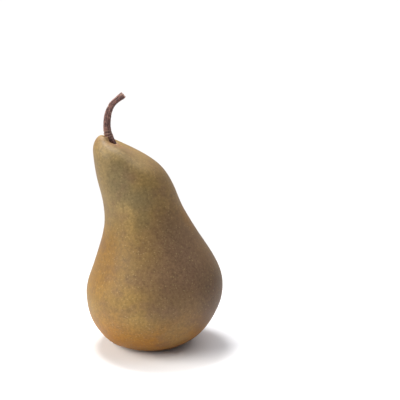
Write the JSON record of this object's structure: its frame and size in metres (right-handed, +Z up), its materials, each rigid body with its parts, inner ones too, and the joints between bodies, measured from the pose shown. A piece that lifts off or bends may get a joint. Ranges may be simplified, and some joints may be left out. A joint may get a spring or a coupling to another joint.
{
  "type": "pear",
  "caption": "Whole russet pear with a long bent neck, a curved woody stem and a dried calyx in its base. It stands upright on a flat ring.",
  "frame": {"origin": "on the surface that the pear stands on, under the middle of its bounding box", "axes": "+Z up along its height. -Y is the front, the side that faces the camera in the picture. +X is to the right seen from there, and the neck bends towards -X"},
  "size_m": [0.0721, 0.0698, 0.1353],
  "materials": {
    "russet_skin": "satin",
    "stem_wood": "matte",
    "dry_sepal": "matte"
  },
  "bodies": {
    "root": {"fruit": "russet_skin", "stem": "stem_wood", "calyx": "dry_sepal"}
  },
  "joints": []
}
